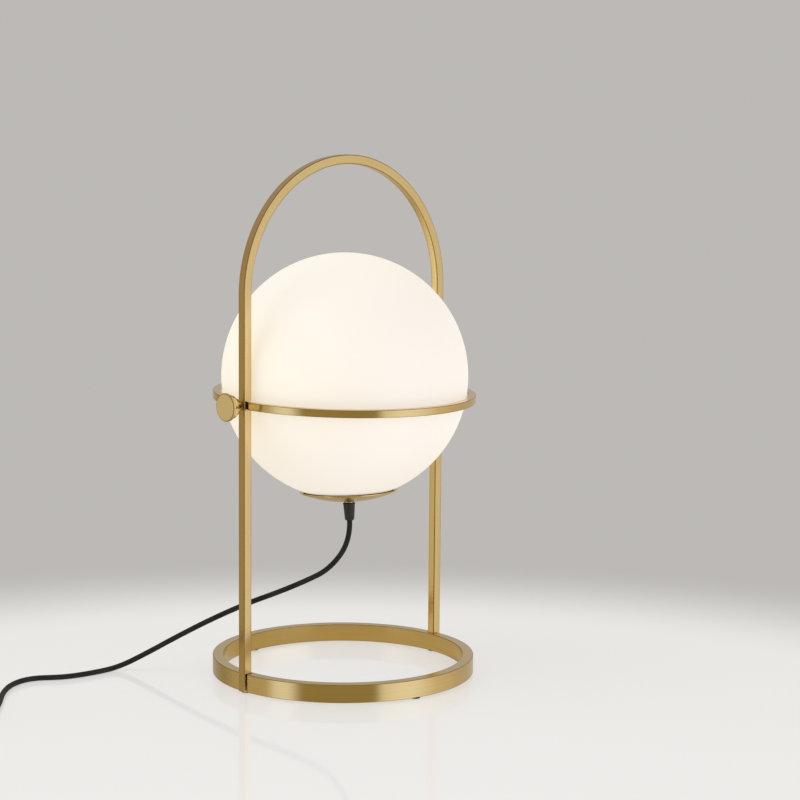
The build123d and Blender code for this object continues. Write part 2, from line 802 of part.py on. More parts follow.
nodes = {
    "base_ring": base_ring(),
    "hoop": hoop(),
    "foot_pads": list(foot_pads()),
    "globe_ring": globe_ring(),
    "seat_gasket": seat_gasket(),
    "cord_lamp": routed(lamp_route, "cord_lamp"),
    "cord_link": routed(link_route, "cord_link"),
    "cord_coil": cord_coil(),
    "cord_tail": routed(tail_route, "cord_tail"),
    "cord_tie": cord_tie(),
    "switch_base": switch_base(),
    "switch_cover": switch_cover(),
    "switch_rocker": switch_rocker(),
    "switch_screws": switch_screws(),
    "switch_contacts": switch_contacts(),
    "plug_body": plug_body(),
    "plug_pins": plug_pins(),
}
for name, make in {"friction_washer": friction_washer, "knob": knob, "knob_stud": stud}.items():
    for side, piece in both_sides(make()).items():
        nodes[f"{name}_{side}"] = piece
globe_pieces = {
    "glass_globe": glass_globe,
    "cap": cap,
    "cap_gasket": cap_gasket,
    "spring_clip": spring_clip,
    "threaded_tube": threaded_tube,
    "lock_nuts": lock_nuts,
    "cord_collar": cord_collar,
    "cord_grip": cord_grip,
    "inner_cord": inner_cord,
    "holder_cap": holder_cap,
    "holder_barrel": holder_barrel_shell,
    "terminal_block": terminal_block,
    "screw_shell": screw_shell,
    "centre_contact": centre_contact,
    "terminal_screws": terminal_screws,
    "inner_leads": inner_leads,
    "bulb_cap": bulb_cap,
    "bulb_insulator": bulb_insulator,
    "bulb_tip": bulb_tip_contact,
    "bulb_housing": bulb_housing,
    "bulb_board": bulb_board,
    "bulb_diffuser": bulb_diffuser,
}
for name, make in globe_pieces.items():
    nodes[name] = on_globe(make())

os.makedirs("parts", exist_ok=True)
for name, shape in nodes.items():
    if isinstance(shape, list):
        shape = Compound(shape)
    export_step(shape, f"parts/{name}.step")
print(f"{len(nodes)} nodes")
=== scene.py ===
"""A glass globe table lamp, dressed for its picture: brushed brass, lit opal glass and a woven black cord.

Metres, in the model's own frame: +Z up, X through the two posts, the surface it stands on at z = 0.
"""

from math import atan2, cos, hypot, pi, radians, sin

import bmesh
import bpy
import numpy as np
from mathutils import Matrix


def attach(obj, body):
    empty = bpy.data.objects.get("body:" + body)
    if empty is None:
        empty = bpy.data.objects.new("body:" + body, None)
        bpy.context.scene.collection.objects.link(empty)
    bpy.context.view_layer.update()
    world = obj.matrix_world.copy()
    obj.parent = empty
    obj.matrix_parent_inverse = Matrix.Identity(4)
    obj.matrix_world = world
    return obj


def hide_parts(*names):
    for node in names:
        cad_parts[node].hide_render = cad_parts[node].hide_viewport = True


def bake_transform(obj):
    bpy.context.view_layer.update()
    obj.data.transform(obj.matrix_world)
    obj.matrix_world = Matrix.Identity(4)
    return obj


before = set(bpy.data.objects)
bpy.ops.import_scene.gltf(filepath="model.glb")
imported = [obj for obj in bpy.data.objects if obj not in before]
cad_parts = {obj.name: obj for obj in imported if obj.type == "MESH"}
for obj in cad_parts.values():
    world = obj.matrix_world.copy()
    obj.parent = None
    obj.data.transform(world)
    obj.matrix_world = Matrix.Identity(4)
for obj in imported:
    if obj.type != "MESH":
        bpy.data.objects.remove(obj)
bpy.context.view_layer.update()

mm = 0.001


# Camera, at the photograph's place

def photograph_camera():
    """A long lens a little above the globe, looking slightly down, turned by half a degree."""
    yaw, pitch, roll = radians(43.848), radians(7.287), radians(0.497)
    forward = np.array([sin(yaw) * cos(pitch), cos(yaw) * cos(pitch), -sin(pitch)])
    level = np.array([cos(yaw), -sin(yaw), 0.0])
    upright = np.cross(level, forward)
    right = level * cos(roll) + upright * sin(roll)
    up = upright * cos(roll) - level * sin(roll)
    data = bpy.data.cameras.new("camera")
    data.lens, data.sensor_width = 98.22, 36.0
    camera = bpy.data.objects.new("camera", data)
    place = np.eye(4)
    place[:3, 0], place[:3, 1], place[:3, 2] = right, up, -forward
    place[:3, 3] = (-1.4829, -1.6251, 0.5627)
    camera.matrix_world = Matrix(place.tolist())
    bpy.context.collection.objects.link(camera)
    bpy.context.scene.camera = camera


photograph_camera()


def across_and_ahead(x, y):
    """How far (x, y) lies to the right of the picture, and how far into it, from the lamp's middle.

    These are x cos a - y sin a and x sin a + y cos a, where a is the turn of the picture's depth from +Y.
    """
    cos_a, sin_a = 0.7387, 0.6740
    return x * cos_a - y * sin_a, x * sin_a + y * cos_a


# Shader arithmetic

class Wire:
    """An output socket that adds up, multiplies and so on as a number does."""

    def __init__(self, finish, socket):
        self.finish, self.socket = finish, socket

    def maths(self, operation, first, second=0.0):
        return self.finish.node("ShaderNodeMath", {"operation": operation}, {0: first, 1: second})

    def __add__(self, other):
        return self.maths("ADD", self, other)

    def __sub__(self, other):
        return self.maths("SUBTRACT", self, other)

    def __rsub__(self, other):
        return self.maths("SUBTRACT", other, self)

    def __mul__(self, other):
        return self.maths("MULTIPLY", self, other)

    def __truediv__(self, other):
        return self.maths("DIVIDE", self, other)

    def __pow__(self, other):
        return self.maths("POWER", self, other)

    __radd__, __rmul__ = __add__, __mul__

    def wave(self):
        return self.maths("SINE", self)

    def between(self, low, high):
        """How far the value has come from low to high, kept within 0 and 1 and eased at both ends."""
        return self.finish.node(
            "ShaderNodeMapRange", {"interpolation_type": "SMOOTHSTEP"}, {0: self, 1: low, 2: high}
        )


class Finish:
    """A material, or the world, and the nodes that make it."""

    def __init__(self, name, owner=None):
        self.owner = owner or bpy.data.materials.new(name)
        self.owner.use_nodes = True
        self.tree = self.owner.node_tree
        self.tree.nodes.clear()

    def node(self, kind, settings=None, sockets=None, out=0):
        """Any node: its settings first, then its sockets, as numbers, colours or wires."""
        made = self.tree.nodes.new(kind)
        for key, value in (settings or {}).items():
            if key == "stops":
                ramp = made.color_ramp
                while len(ramp.elements) < len(value):
                    ramp.elements.new(1.0)
                for element, (place, colour) in zip(ramp.elements, value):
                    element.position, element.color = place, (*colour, 1.0)
            else:
                setattr(made, key, value)
        for key, value in (sockets or {}).items():
            if isinstance(value, Wire):
                self.tree.links.new(value.socket, made.inputs[key])
            elif isinstance(value, tuple) and made.inputs[key].type == "RGBA":
                made.inputs[key].default_value = (*value, 1.0)
            else:
                made.inputs[key].default_value = value
        return Wire(self, made.outputs[out])

    def coordinates(self, out="Object"):
        return self.node("ShaderNodeTexCoord", out=out)

    def parts(self, vector):
        """The three numbers of a vector."""
        split = self.node("ShaderNodeSeparateXYZ", sockets={0: vector})
        return [Wire(self, socket) for socket in split.socket.node.outputs]

    def vector(self, x, y):
        return self.node("ShaderNodeCombineXYZ", sockets={0: x, 1: y})

    def noise(self, vector, scale=1.0, detail=2.0):
        return self.node("ShaderNodeTexNoise", sockets={"Vector": vector, "Scale": scale, "Detail": detail})

    def mix(self, factor, first, second):
        """From the first colour to the second."""
        return self.node("ShaderNodeMix", {"data_type": "RGBA"}, {0: factor, 6: first, 7: second}, out=2)

    def bump(self, height, distance):
        return self.node("ShaderNodeBump", sockets={"Height": height, "Distance": distance})

    def blend(self, factor, first, second):
        """From the first shader to the second."""
        return self.node("ShaderNodeMixShader", sockets={0: factor, 1: first, 2: second})

    def glow(self, colour):
        return self.node("ShaderNodeEmission", sockets={"Color": colour})

    def ray(self, kind):
        """1 where the light path is of that kind, and 0 elsewhere."""
        return self.node("ShaderNodeLightPath", out=kind)

    def surface(self, **sockets):
        """Closes the material with one Principled shader."""
        named = {key.replace("_", " "): value for key, value in sockets.items()}
        return self.close(self.node("ShaderNodeBsdfPrincipled", sockets=named))

    def close(self, shader, kind="ShaderNodeOutputMaterial"):
        made = self.tree.nodes.new(kind)
        self.tree.links.new(shader.socket, made.inputs["Surface"])
        return self.owner


# Finishes

def brushed_brass(name, turn, gloss=0.15, outer_face=None, inner_face=None):
    """Satin brass with fine lines along the piece: u runs across the lines and v along them, in metres.

    The lines are noise stretched two hundred times along v. turn is the direction in which the reflections
    spread, as a share of a whole turn, and gloss is the least roughness. The edges are painted darker, a
    painted dark reflection along the rounded corners. On a bar, u from outer_face[0] to outer_face[1] is the
    outer face, which is painted deeper in tone than the sides as painted shade, and u past inner_face is the
    inner face, which is painted lighter as painted light.
    """
    deep, pale = (0.68, 0.505, 0.23), (0.75, 0.575, 0.285)
    # The outer face's colour is painted shade, the inner face's colour is painted light, and the edge colour
    # is a painted dark reflection
    outer_tone, inner_face_painted_light, edge_painted_dark_reflection = (0.57, 0.395, 0.17), (0.92, 0.70, 0.31), (0.20, 0.125, 0.035)
    soft = 1.0 * mm
    finish = Finish(name)
    u, v, _ = finish.parts(finish.coordinates("UV"))
    lines = finish.noise(finish.vector(u * 5200, v * 26), detail=3)
    streaks = finish.noise(finish.vector(u * 900, v * 7), detail=2)
    clouds = finish.noise(finish.coordinates(), scale=14, detail=3)
    tone = streaks.between(0.3, 0.7) * 0.55 + clouds.between(0.3, 0.7) * 0.45
    colour = finish.mix(tone, deep, pale)
    # Painted shade deepens the outer face, and painted light brightens the inner face
    if outer_face:
        start, end = outer_face
        colour = finish.mix(u.between(start - soft, start) * u.between(end + soft, end), colour, outer_tone)
    if inner_face:
        colour = finish.mix(u.between(inner_face - soft, inner_face), colour, inner_face_painted_light)
    # Painted dark reflection along the rounded edges
    edge = finish.node("ShaderNodeAttribute", {"attribute_name": "edge"}, out="Fac")
    colour = finish.mix(edge * 0.85, colour, edge_painted_dark_reflection)
    return finish.surface(
        Base_Color=colour, Metallic=1.0, Roughness=streaks * 0.08 + gloss,
        Anisotropic=0.8, Anisotropic_Rotation=turn, Normal=finish.bump(lines, 0.01 * mm),
    )


def turned_brass(name):
    """The knobs' brass: fine turning rings with a softer gloss. u runs along the profile in metres.

    The face, past the rim, is painted paler as a painted highlight, and the chamfer round it and the step
    under the rim are painted dark as painted shade.
    """
    deep, pale = (0.69, 0.515, 0.235), (0.74, 0.565, 0.28)
    # Painted highlight for the face, and painted shade for the chamfer and the step under the rim
    face_painted_highlight, dark = (0.95, 0.77, 0.46), (0.26, 0.18, 0.06)
    finish = Finish(name)
    u, v, _ = finish.parts(finish.coordinates("UV"))
    rings = finish.noise(finish.vector(u * 4200, v * 12), detail=3)
    tone = finish.noise(finish.vector(u * 700, v * 9), detail=2).between(0.3, 0.7)
    # The step and the chamfer are painted dark as painted shade, and the face is painted paler as a painted
    # highlight
    step = u.between(22.6 * mm, 23.2 * mm) * u.between(24.6 * mm, 24.2 * mm)
    chamfer = u.between(26.2 * mm, 26.6 * mm) * u.between(27.8 * mm, 27.4 * mm)
    face = u.between(27.3 * mm, 27.7 * mm)
    colour = finish.mix(face, finish.mix(tone, deep, pale), face_painted_highlight)
    colour = finish.mix(chamfer * 0.6 + step * 0.75, colour, dark)
    return finish.surface(
        Base_Color=colour, Metallic=1.0, Roughness=tone * 0.08 + 0.18, Normal=finish.bump(rings, 0.012 * mm)
    )


def lit_opal(name):
    """Milk-white glass glowing with painted light for the lit bulb behind it: creamier to the left, dimmer at
    the top and the mouth.
    """
    white, cream = (0.57, 0.515, 0.46), (0.57, 0.505, 0.39)
    top_glow_dimmed, mouth_glow_dimmed = (0.495, 0.45, 0.385), (0.47, 0.42, 0.36)
    finish = Finish(name)
    x, y, height = finish.parts(finish.coordinates())
    clouds = finish.noise(finish.coordinates(), scale=9, detail=2)
    across, _ = across_and_ahead(x, y)
    level = height + clouds * 0.01
    # Painted glow: creamier to the left, dimmer at the top and at the mouth
    colour = finish.mix((across + clouds * 0.03).between(0.11, -0.10), white, cream)
    colour = finish.mix(level.between(0.33, 0.42), colour, top_glow_dimmed)
    colour = finish.mix(level.between(0.29, 0.19), colour, mouth_glow_dimmed)
    return finish.surface(
        Base_Color=finish.mix(clouds, (0.56, 0.55, 0.53), (0.60, 0.59, 0.57)), Roughness=0.42,
        Emission_Color=colour, Emission_Strength=1.0, IOR=1.45,
    )


def woven_cover(name):
    """The cord's textile cover: two sets of strands that cross, eight each way round.

    u runs once round the cord from 0 to 1 and v along it in metres. The strands are sines of
    2 pi (8 u + v/p) and 2 pi (8 u - v/p), with p their spacing along the cord, and the higher of the two is
    the surface.
    """
    strands, spacing = 8, 3.4 * mm
    deep, raised_strand_tone = (0.007, 0.0065, 0.006), (0.034, 0.032, 0.028)
    finish = Finish(name)
    u, v, _ = finish.parts(finish.coordinates("UV"))
    around, along = u * (2 * pi * strands), v * (2 * pi / spacing)
    threads = finish.noise(finish.vector(u * 40, v * 3000), detail=2)
    height = around.maths("MAXIMUM", (around + along).wave(), (around - along).wave()) + threads * 0.4
    patches = finish.noise(finish.coordinates(), scale=60, detail=3)
    # Paler on the raised strands, in patches, and darker down between them
    colour = finish.mix(height.between(-0.2, 1.2) * patches.between(0.2, 0.8), deep, raised_strand_tone)
    return finish.surface(
        Base_Color=colour, Roughness=0.66 - height * 0.06, Normal=finish.bump(height, 0.22 * mm),
        Specular_IOR_Level=0.35,
    )


def soft_black(name, level, grain, gloss):
    """Moulded black rubber or plastic with a fine matt grain and faint handling marks."""
    finish = Finish(name)
    place = finish.coordinates()
    fine = finish.noise(place, scale=grain, detail=3)
    marks = finish.noise(place, scale=55, detail=4).between(0.45, 0.75)
    colour = finish.mix(marks, (level, level, level * 0.94), (level * 1.6, level * 1.58, level * 1.5))
    return finish.surface(
        Base_Color=colour, Roughness=gloss + marks * 0.12, Normal=finish.bump(fine, 0.04 * mm),
        Specular_IOR_Level=0.4,
    )


def plain_metal(name, colour, gloss):
    """Plated or pressed sheet: an even colour broken by fine mottling."""
    finish = Finish(name)
    mottle = finish.noise(finish.coordinates(), scale=900, detail=3)
    darker = tuple(0.82 * c for c in colour)
    return finish.surface(
        Base_Color=finish.mix(mottle, darker, colour), Metallic=1.0, Roughness=gloss + mottle * 0.1,
        Normal=finish.bump(mottle, 0.01 * mm),
    )


def pale_moulding(name, colour, gloss):
    """Glazed ceramic, glass, fibre or moulded plastic: an even colour broken by fine mottling."""
    finish = Finish(name)
    mottle = finish.noise(finish.coordinates(), scale=300, detail=3)
    darker = tuple(0.9 * c for c in colour)
    return finish.surface(
        Base_Color=finish.mix(mottle, darker, colour), Roughness=gloss, Normal=finish.bump(mottle, 0.01 * mm)
    )


ring_brass = brushed_brass("ring_brass", 0.25)
cap_brass = brushed_brass("cap_brass", 0.25, gloss=0.20)
bar_brass = brushed_brass("bar_brass", 0.0, outer_face=(10.9 * mm, 17.5 * mm), inner_face=28.4 * mm)
knob_brass = turned_brass("knob_brass")
opal = lit_opal("opal_glass_lit")
cord_cover = woven_cover("woven_cord_cover")
rubber = soft_black("black_rubber", 0.018, 2500, 0.6)
grip_rubber = soft_black("grip_rubber", 0.028, 3200, 0.5)
moulded = soft_black("black_moulding", 0.022, 2200, 0.38)
strap = soft_black("woven_strap", 0.03, 5200, 0.8)
zinc = plain_metal("zinc_plated_steel", (0.62, 0.62, 0.60), 0.3)
bright_brass = plain_metal("bright_contact_brass", (0.80, 0.62, 0.32), 0.22)
nickel = plain_metal("nickel_plating", (0.74, 0.73, 0.70), 0.16)
cap_metal = plain_metal("bulb_cap_aluminium", (0.75, 0.75, 0.76), 0.25)
ceramic = pale_moulding("glazed_ceramic", (0.82, 0.80, 0.74), 0.25)
white_plastic = pale_moulding("white_bulb_housing", (0.80, 0.80, 0.79), 0.4)
frosted = pale_moulding("frosted_dome", (0.88, 0.87, 0.83), 0.6)
black_glass = pale_moulding("black_glass_eye", (0.02, 0.02, 0.025), 0.12)
core_brown = pale_moulding("core_insulation", (0.16, 0.07, 0.03), 0.5)
silicone = pale_moulding("pale_silicone", (0.72, 0.69, 0.62), 0.5)
# The cap gasket's dark brown draws the shade line where the glass meets the cap: painted shade
fibre = pale_moulding("gasket_painted_shade_brown", (0.17, 0.105, 0.04), 0.8)


# Meshes from formulas

def mesh_piece(name, grids, material, body, nodes):
    """One closed piece from grids of points, each with its own u and v.

    A grid is (rows, columns, 3) points and (rows, columns, 2) of u and v, and may have a third part: how
    much each point belongs to an edge, from 0 to 1. Every cell is a face. Points that fall together, at a
    seam or a pole, become one. A piece that bends between two bodies rides on none.
    """
    points, layout, edges, corners, start = [], [], [], [], 0
    for grid, uv, *edge in grids:
        rows, columns = grid.shape[:2]
        index = start + np.arange(rows * columns).reshape(rows, columns)
        cells = np.stack([index[:-1, :-1], index[1:, :-1], index[1:, 1:], index[:-1, 1:]], -1)
        corners.append(cells.reshape(-1, 4))
        points.append(grid.reshape(-1, 3))
        layout.append(uv.reshape(-1, 2))
        edges.append(np.broadcast_to(edge[0] if edge else 0.0, (rows, columns)).ravel())
        start += rows * columns
    points, layout, corners = np.concatenate(points), np.concatenate(layout), np.concatenate(corners)
    mesh = bpy.data.meshes.new(name)
    mesh.from_pydata(points.tolist(), [], corners.tolist())
    edge_marks = np.concatenate(edges).astype(np.float32)
    mesh.attributes.new("edge", "FLOAT", "POINT").data.foreach_set("value", edge_marks)
    corner_uv = layout[corners.ravel()].astype(np.float32)
    mesh.uv_layers.new(name="UVMap").data.foreach_set("uv", corner_uv.ravel())
    work = bmesh.new()
    work.from_mesh(mesh)
    bmesh.ops.remove_doubles(work, verts=work.verts, dist=1e-6)
    bmesh.ops.recalc_face_normals(work, faces=work.faces)
    work.to_mesh(mesh)
    work.free()
    mesh.shade_smooth()
    mesh.materials.append(material)
    piece = bpy.data.objects.new(name, mesh)
    bpy.context.collection.objects.link(piece)
    even = piece.modifiers.new("even_normals", "WEIGHTED_NORMAL")
    even.keep_sharp = True
    if body:
        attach(piece, body)
    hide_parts(*nodes)
    return piece


def eased(corners, ease, closed=True, steps=4):
    """An outline with its corners rounded.

    Each corner gives way to the parabola (1-t)^2 a + 2t(1-t) corner + t^2 b, between the points a and b
    that lie the distance ease before and after it.
    """
    corners = np.asarray(corners, float)

    def toward(target):
        way = target - corners
        return corners + way * np.minimum(ease / np.linalg.norm(way, axis=-1), 0.5)[..., None]

    a, b = toward(np.roll(corners, 1, -2)), toward(np.roll(corners, -1, -2))
    t = np.linspace(0, 1, steps + 1)[:, None]
    arcs = (1 - t) ** 2 * a[..., None, :] + 2 * t * (1 - t) * corners[..., None, :] + t**2 * b[..., None, :]
    if closed:
        line = arcs.reshape(*corners.shape[:-2], -1, 2)
        return np.concatenate([line, line[..., :1, :]], -2)
    middle = arcs[..., 1:-1, :, :].reshape(*corners.shape[:-2], -1, 2)
    return np.concatenate([corners[..., :1, :], middle, corners[..., -1:, :]], -2)


def corner_marks(corners, steps=4):
    """For the points of a closed eased outline: half a sine wave over each rounded corner."""
    return np.append(np.tile(np.sin(np.linspace(0, pi, steps + 1)), corners), 0.0)


def rectangles(left, right, low, high):
    """The four corners of a rectangle at each station, from its left, right, lower and upper sides."""
    left, right, low, high = np.broadcast_arrays(left, right, low, high)
    return np.stack([
        np.stack([left, low], -1), np.stack([right, low], -1),
        np.stack([right, high], -1), np.stack([left, high], -1),
    ], 1)


def lengths(line):
    """How far along a line of points each of them is."""
    steps = np.linalg.norm(np.diff(line, axis=0), axis=1)
    return np.concatenate([[0.0], np.cumsum(steps)])


def swept(centres, sides, ups, outline):
    """A section carried along a path: centre + side * x + up * y, with u round the section and v along it."""
    outline = np.broadcast_to(outline, (len(centres), *outline.shape[-2:]))
    grid = centres[:, None] + sides[:, None] * outline[..., :1] + ups[:, None] * outline[..., 1:]
    u, v = lengths(outline[0]), lengths(centres)
    return grid, np.stack(np.broadcast_arrays(u[None, :], v[:, None]), -1)


def flat_ends(grid, uv):
    """The two ends of a carried section, each a fan from its outline to the mean of its points."""
    ends = []
    for row in (0, -1):
        middle = np.broadcast_to(grid[row].mean(0), grid[row].shape)
        ends.append((np.stack([grid[row], middle]), np.stack([uv[row], uv[row]])))
    return ends


def turned(profile, columns):
    """A profile of (radius, height) turned about Z: u along the profile, v round it at its widest radius."""
    profile = np.asarray(profile, float)
    angle = np.linspace(0, 2 * pi, columns + 1)
    radius, height = profile[:, :1], profile[:, 1:]
    grid = np.stack(np.broadcast_arrays(radius * np.cos(angle), radius * np.sin(angle), height), -1)
    u, v = lengths(profile), angle * profile[:, 0].max()
    return grid, np.stack(np.broadcast_arrays(u[:, None], v[None, :]), -1)


def placed(grid, change):
    """A grid with its points changed and the rest kept."""
    return change(grid[0]), *grid[1:]


def about_x(angle, origin):
    """Turns points about the X direction, then moves them to an origin."""
    c, s = cos(angle), sin(angle)
    turn = np.array([[1, 0, 0], [0, c, s], [0, -s, c]])
    return lambda points: points @ turn + np.asarray(origin)


# Places that the pieces share

pivot_z, globe_rise = 286.5 * mm, 19.2 * mm
ring_tilt, globe_turn = radians(1.3), radians(-3.2)
globe_centre = np.array([0.0, -globe_rise * sin(ring_tilt), pivot_z + globe_rise * cos(ring_tilt)])
on_ring = about_x(ring_tilt, (0, 0, pivot_z))
on_globe = about_x(globe_turn, globe_centre)

# The pads lift the frame. The bar's middle line lies bar_middle from the lamp's upright axis.
pad_height = 1.2 * mm
bar_middle, bar_depth, bar_width = 131.2 * mm, 9.4 * mm, 9.0 * mm


# Cords, on the model's own route

def smooth_line(route, name):
    """The points of the smooth curve that a route's points control."""
    curve = bpy.data.curves.new(name, "CURVE")
    curve.dimensions = "3D"
    spline = curve.splines.new("NURBS")
    spline.points.add(len(route) - 1)
    spline.points.foreach_set("co", np.column_stack([route, np.ones(len(route))]).ravel())
    spline.order_u = 3
    spline.use_endpoint_u = True
    spline.resolution_u = 12
    holder = bpy.data.objects.new(name, curve)
    bpy.context.collection.objects.link(holder)
    bpy.context.view_layer.update()
    shape = bpy.data.meshes.new_from_object(holder)
    points = np.zeros(3 * len(shape.vertices))
    shape.vertices.foreach_get("co", points)
    bpy.data.objects.remove(holder)
    bpy.data.meshes.remove(shape)
    points = points.reshape(-1, 3)
    return points[np.concatenate([[True], np.diff(lengths(points)) > 1e-5])]


def cord_tube(name, route, body, nodes):
    """A round tube along a smooth line: its sides are carried along by the least turn from point to point."""
    line = smooth_line(route, name)
    ways = np.gradient(line, axis=0)
    ways /= np.linalg.norm(ways, axis=1)[:, None]
    side = np.cross(ways[0], (0.0, 1.0, 0.3))
    sideways = []
    for way in ways:
        side = side - way * (side @ way)
        side /= np.linalg.norm(side)
        sideways.append(side)
    sideways = np.array(sideways)
    angle = np.linspace(0, 2 * pi, 21)
    outline = np.column_stack([cord_r * np.cos(angle), cord_r * np.sin(angle)])
    grid, uv = swept(line, sideways, np.cross(ways, sideways), outline)
    uv = uv / [2 * pi * cord_r, 1]
    return mesh_piece(name, [(grid, uv), *flat_ends(grid, uv)], cord_cover, body, nodes), line


cord_r, lie = 2.7 * mm, 2.75 * mm
grip_exit = on_globe(np.array([[0, 0, -147.6 * mm]]))[0]
first_bend = on_globe(np.array([[0, 0, -169.0 * mm]]))[0]
near_floor = (-0.127, 0.1135, 0.0355)
lamp_route = np.array([
    grip_exit, first_bend,
    (-0.014, 0.0055, 0.107), (-0.0345, 0.025, 0.093), (-0.0545, 0.044, 0.0815), (-0.075, 0.0635, 0.071),
    (-0.101, 0.0885, 0.0545), near_floor, (-0.150, 0.1355, 0.0175), (-0.171, 0.155, lie),
    (-0.204, 0.1535, lie), (-0.236, 0.158, lie), (-0.263, 0.178, lie), (-0.291, 0.171, lie),
    (-0.316, 0.149, lie), (-0.337, 0.122, lie), (-0.358, 0.098, lie), (-0.383, 0.082, 0.009),
    (-0.408, 0.082, 0.009),
])

coil_r, coil_step, coil_turns, coil_ease = 37.5 * mm, 6.0 * mm, 5.5, 0.12
coil_low = 3.8 * mm
coil_start = np.array([-0.5204, 0.082, coil_low])
first_angle = atan2(coil_step * coil_turns / 2 / hypot(coil_turns / 2, coil_ease), 2 * pi * coil_r) - pi / 2
coil_centre = coil_start - coil_r * np.array([cos(first_angle), sin(first_angle), 0])
coil_centre[2] = 0


def coil_points(turn, swell=1.0):
    """The coil's line, with turn counted from the middle of the winding.

    The radius grows by one step for each turn away from the middle, and the height rises by one step in the
    half turn round it. swell makes up for the curve passing inside its points.
    """
    middle = coil_r - coil_step * hypot(coil_turns / 2, coil_ease)
    radius = swell * (middle + coil_step * np.hypot(turn, coil_ease))
    climb = np.clip(2 * turn + 0.5, 0, 1)
    angle = first_angle - 2 * pi * (turn + coil_turns / 2)
    height = coil_low + coil_step * climb**2 * (3 - 2 * climb)
    return coil_centre + np.column_stack([radius * np.cos(angle), radius * np.sin(angle), height])


def plug_route():
    """From the switch, down to the coil, round its turns, and up to the plug."""
    per_turn, straight, corner, neck, plug_axis = 16, 5.4 * mm, 10 * mm, 10 * mm, 6.9 * mm
    count = int(coil_turns * per_turn)
    turns = np.arange(1, count) / per_turn - coil_turns / 2
    wound = coil_points(turns, 1 / cos(pi / per_turn))
    last, before = coil_points(np.array([coil_turns / 2, coil_turns / 2 - 1e-4]))
    way = (last - before) / np.linalg.norm(last - before)
    tail = last + way * straight
    bend = tail + way * corner
    first = [switch_exit, (-0.483, 0.082, 0.009), (-0.500, 0.082, coil_low), (-0.515, 0.082, coil_low)]
    rest = [tail, bend, (bend[0] + neck, bend[1], plug_axis), (bend[0] + 2 * neck, bend[1], plug_axis)]
    return np.array([*first, coil_start, *wound, last, *rest])


switch_exit = (-0.468, 0.082, 0.009)
lamp_cord, lamp_line = cord_tube("lamp_cord", lamp_route, None, ("cord_lamp",))
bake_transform(lamp_cord)
plug_path = plug_route()
plug_cord, plug_line = cord_tube("plug_cord", plug_path, "frame", ("cord_link", "cord_coil", "cord_tail"))


# Brass. Turned profiles are (radius, height) in millimetres, from the globe's middle where they follow it.

def hoop():
    """Square bar along an upside-down U, narrowed to its outer web where the globe's ring passes."""
    bend_z, notch_half, web_inside, ease = 393.0 * mm, 4.65 * mm, 2.2 * mm, 1.2 * mm
    low, high = pivot_z - notch_half, pivot_z + notch_half
    rise = np.array([pad_height, 0.02, 0.14, low, low, high, high, 0.34, bend_z])
    web = np.array([0, 0, 0, 0, 1, 1, 0, 0, 0])
    arch = np.radians(np.linspace(180, 0, 145))[1:-1]
    leg = np.column_stack([np.full(len(rise), -bar_middle), np.zeros(len(rise)), rise])
    outward = np.column_stack([np.cos(arch), np.zeros(len(arch)), np.sin(arch)])
    over = bar_middle * outward + [0, 0, bend_z]
    centres = np.concatenate([leg, over, leg[::-1] * [-1, 1, 1]])
    sides = np.concatenate([
        np.tile([-1.0, 0, 0], (len(leg), 1)), outward, np.tile([1.0, 0, 0], (len(leg), 1)),
    ])
    ups = np.tile([0.0, 1.0, 0], (len(centres), 1))
    thin = np.concatenate([web, np.zeros(len(arch)), web[::-1]])
    inside = np.where(thin, web_inside, -bar_depth / 2)
    outline = eased(rectangles(inside, bar_depth / 2, -bar_width / 2, bar_width / 2), ease)
    grid, uv = swept(centres, sides, ups, outline)
    bar = (grid, uv, corner_marks(4))
    mesh_piece("brass_hoop", [bar, *flat_ends(grid, uv)], bar_brass, "frame", ("hoop",))


def round_band(corners, angles):
    """A section of (radius, height) corners, which may differ from angle to angle, carried round Z."""
    ease, v_radius = 0.7 * mm, 130 * mm
    outline = eased(corners, ease)
    sides = np.stack([np.cos(angles), np.sin(angles), np.zeros(len(angles))], -1)
    ups = np.tile([0.0, 0, 1], (len(angles), 1))
    grid, uv = swept(np.zeros((len(angles), 3)), sides, ups, outline)
    uv = uv.copy()
    uv[..., 1] = (angles * v_radius)[:, None]
    return grid, uv, corner_marks(corners.shape[-2])


def stepped_angles(count, gap):
    """Angles all the way round, and whether the section at each is cut back.

    The cuts lie on the +X and -X sides, gap to each side of them, and each cut's edge has two stations: one
    whole and one cut.
    """
    even = np.linspace(0, 2 * pi, count + 1)[:-1]
    apart = np.abs(np.sin(even)) > sin(gap) * 1.05
    inside = ~apart & (np.abs(np.sin(even)) < sin(gap) * 0.95)
    edges = np.array([gap, pi - gap, pi + gap, 2 * pi - gap])
    angles = np.concatenate([even[apart], even[inside], edges, edges])
    cut = np.concatenate([np.zeros(apart.sum()), np.ones(inside.sum()), np.zeros(4), np.ones(4)])
    # At an edge the whole station comes on the side away from the cut
    nudge = np.concatenate([np.zeros(apart.sum() + inside.sum()), [1, -1, 1, -1], [-1, 1, -1, 1]]) * 1e-7
    order = np.argsort(angles + nudge)
    angles, cut = angles[order], cut[order].astype(bool)
    # The round starts and ends at 45 degrees, away from both cuts
    start = np.searchsorted(angles, pi / 4)
    angles = np.concatenate([angles[start:], angles[: start + 1] + 2 * pi])
    cut = np.concatenate([cut[start:], cut[: start + 1]])
    return angles, cut


def base_ring():
    """Flat band, slotted outside where the hoop's legs stand."""
    outer_r, inner_r, slot_floor, top = 134.0 * mm, 123.0 * mm, 126.4 * mm, 19.2 * mm
    slot_half, band_middle = 5.9 * mm, 130.0 * mm
    angles, cut = stepped_angles(240, np.arcsin(slot_half / band_middle))
    corners = rectangles(inner_r, np.where(cut, slot_floor, outer_r), pad_height, top)
    mesh_piece("brass_base_ring", [round_band(corners, angles)], ring_brass, "frame", ("base_ring",))


